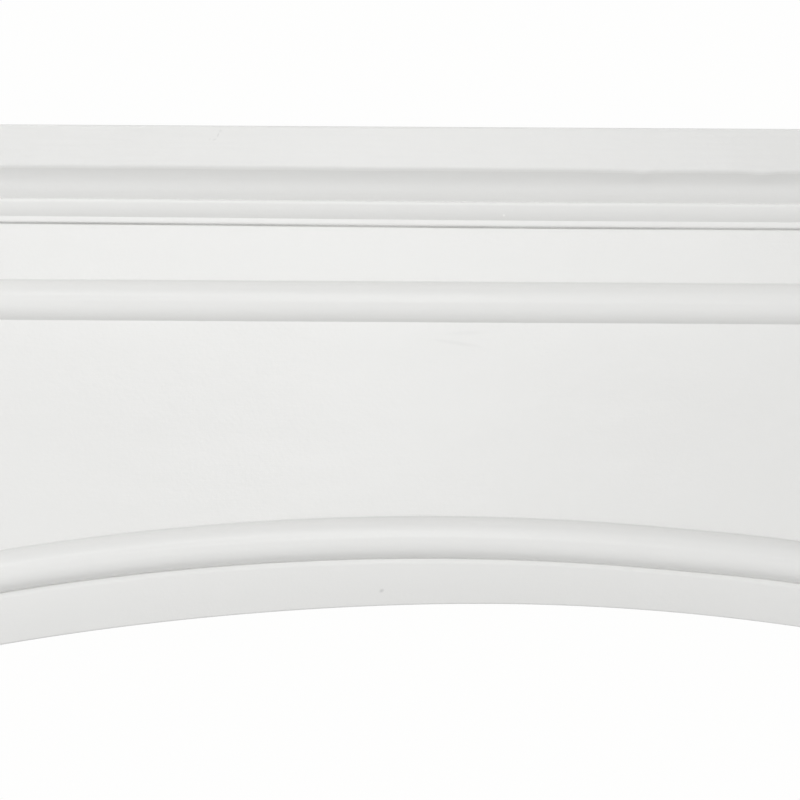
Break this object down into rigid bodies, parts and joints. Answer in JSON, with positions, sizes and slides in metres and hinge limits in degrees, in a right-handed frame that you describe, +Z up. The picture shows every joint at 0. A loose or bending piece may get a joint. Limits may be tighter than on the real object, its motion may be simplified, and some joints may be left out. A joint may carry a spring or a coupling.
{
  "type": "fireplace mantelpiece",
  "caption": "White painted fireplace mantelpiece with a shelf on a moulded cornice, a beaded frieze and a low arched opening framed by a moulding.",
  "frame": {"origin": "on the floor, at the centre of the mantelpiece's width and depth", "axes": "+X along the shelf, to the right of someone facing the mantelpiece; +Y back to the wall; +Z up"},
  "size_m": [1.2346, 0.2272, 1.05],
  "materials": {
    "painted_shelf": "satin white paint",
    "painted_mouldings": "satin white paint",
    "painted_boards": "satin white paint",
    "painted_lining": "satin white paint"
  },
  "bodies": {
    "root": {"shelf": "painted_shelf", "cornice_front": "painted_mouldings", "cornice_left": "painted_mouldings", "cornice_right": "painted_mouldings", "frieze_board": "painted_boards", "frieze_bead_front": "painted_mouldings", "frieze_bead_left": "painted_mouldings", "frieze_bead_right": "painted_mouldings", "arch_moulding": "painted_mouldings", "leg_moulding_left": "painted_mouldings", "leg_moulding_right": "painted_mouldings", "leg_board_left": "painted_boards", "leg_board_right": "painted_boards", "side_board_left": "painted_boards", "side_board_right": "painted_boards", "reveal_board_left": "painted_lining", "reveal_board_right": "painted_lining", "soffit_board": "painted_lining", "plinth_left": "painted_boards", "plinth_right": "painted_boards", "plinth_return_left": "painted_boards", "plinth_return_right": "painted_boards"}
  },
  "joints": []
}
